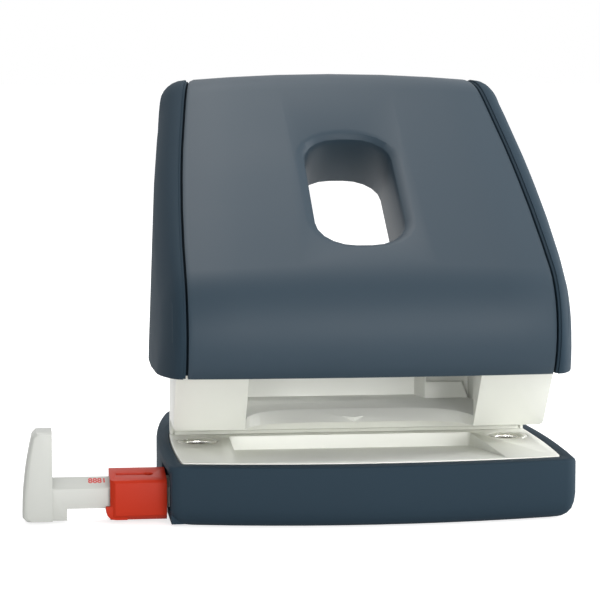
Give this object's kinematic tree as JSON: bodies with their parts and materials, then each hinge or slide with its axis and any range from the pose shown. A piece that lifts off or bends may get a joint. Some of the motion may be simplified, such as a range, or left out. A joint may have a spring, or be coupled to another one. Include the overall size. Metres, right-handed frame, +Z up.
{
  "type": "two-hole paper punch",
  "caption": "Desk paper punch with a sprung wedge lever that has a hand opening, a paper slot over the dies, a sliding paper guide with a red lock, and a chip door in the base.",
  "frame": {"origin": "on the underside of the base, midway between the two punch pins", "axes": "+Z up, +X to the right along the line of the pins, -Y towards the person who uses it"},
  "size_m": [0.1362, 0.1028, 0.1071],
  "materials": {
    "navy_plastic": "satin navy-grey moulding",
    "navy_panel": "fine-grained satin navy-grey moulding",
    "white_metal": "warm white satin paint",
    "white_plastic": "warm white satin moulding",
    "guide_plastic": "warm white satin moulding",
    "red_plastic": "orange-red moulding",
    "steel": "ground",
    "dark_steel": "zinc plated",
    "brass": "turned"
  },
  "bodies": {
    "base": {"base_shell": "navy_plastic", "bed_plate": "white_metal", "die_left": "steel", "die_right": "steel", "punch_frame": "white_plastic", "paper_stop_rail": "white_plastic", "guide_bush_left": "brass", "guide_bush_right": "brass", "pivot_axle": "steel", "axle_clip_left": "dark_steel", "axle_clip_right": "dark_steel", "frame_screw_1": "dark_steel", "frame_screw_2": "dark_steel", "frame_screw_3": "dark_steel", "frame_screw_4": "dark_steel", "return_spring_left": "steel", "return_spring_right": "steel"},
    "door": {"chip_door": "navy_plastic"},
    "lever": {"lever_cover": "navy_panel", "lever_side_left": "navy_plastic", "lever_side_right": "navy_plastic", "lever_frame": "dark_steel", "cover_screw_1": "dark_steel", "cover_screw_2": "dark_steel", "cover_screw_3": "dark_steel", "cover_screw_4": "dark_steel"},
    "punch_left": {"punch_pin_left": "steel", "spring_cap_left": "dark_steel"},
    "punch_right": {"punch_pin_right": "steel", "spring_cap_right": "dark_steel"},
    "guide": {"guide_bar": "guide_plastic"},
    "lock": {"guide_lock": "red_plastic"}
  },
  "joints": [
    {"name": "lever_press", "type": "hinge", "parent": "base", "child": "lever", "pos_m": [0, -0.024, 0.045], "axis": [-1, 0, 0], "range_deg": [0, 19], "stiffness_Nm_per_rad": 1.4, "springref_deg": -11.46},
    {"name": "punch_left_slide", "type": "slide", "parent": "base", "child": "punch_left", "axis": [0, 0, -1], "range_m": [0, 0.0078], "deforming": ["return_spring_left"]},
    {"name": "punch_right_slide", "type": "slide", "parent": "base", "child": "punch_right", "axis": [0, 0, -1], "range_m": [0, 0.0078], "deforming": ["return_spring_right"]},
    {"name": "guide_slide", "type": "slide", "parent": "base", "child": "guide", "axis": [-1, 0, 0], "range_m": [-0.006, 0.0715]},
    {"name": "guide_lock_slide", "type": "slide", "parent": "base", "child": "lock", "axis": [-1, 0, 0], "range_m": [0, 0.003]},
    {"name": "chip_door_hinge", "type": "hinge", "parent": "base", "child": "door", "pos_m": [0, 0.044, 0.0017], "axis": [1, 0, 0], "range_deg": [0, 95]}
  ],
  "couplings": [
    {"joint": "punch_left_slide", "follows": "lever_press", "m_per_rad": 0.0235},
    {"joint": "punch_right_slide", "follows": "lever_press", "m_per_rad": 0.0235}
  ]
}
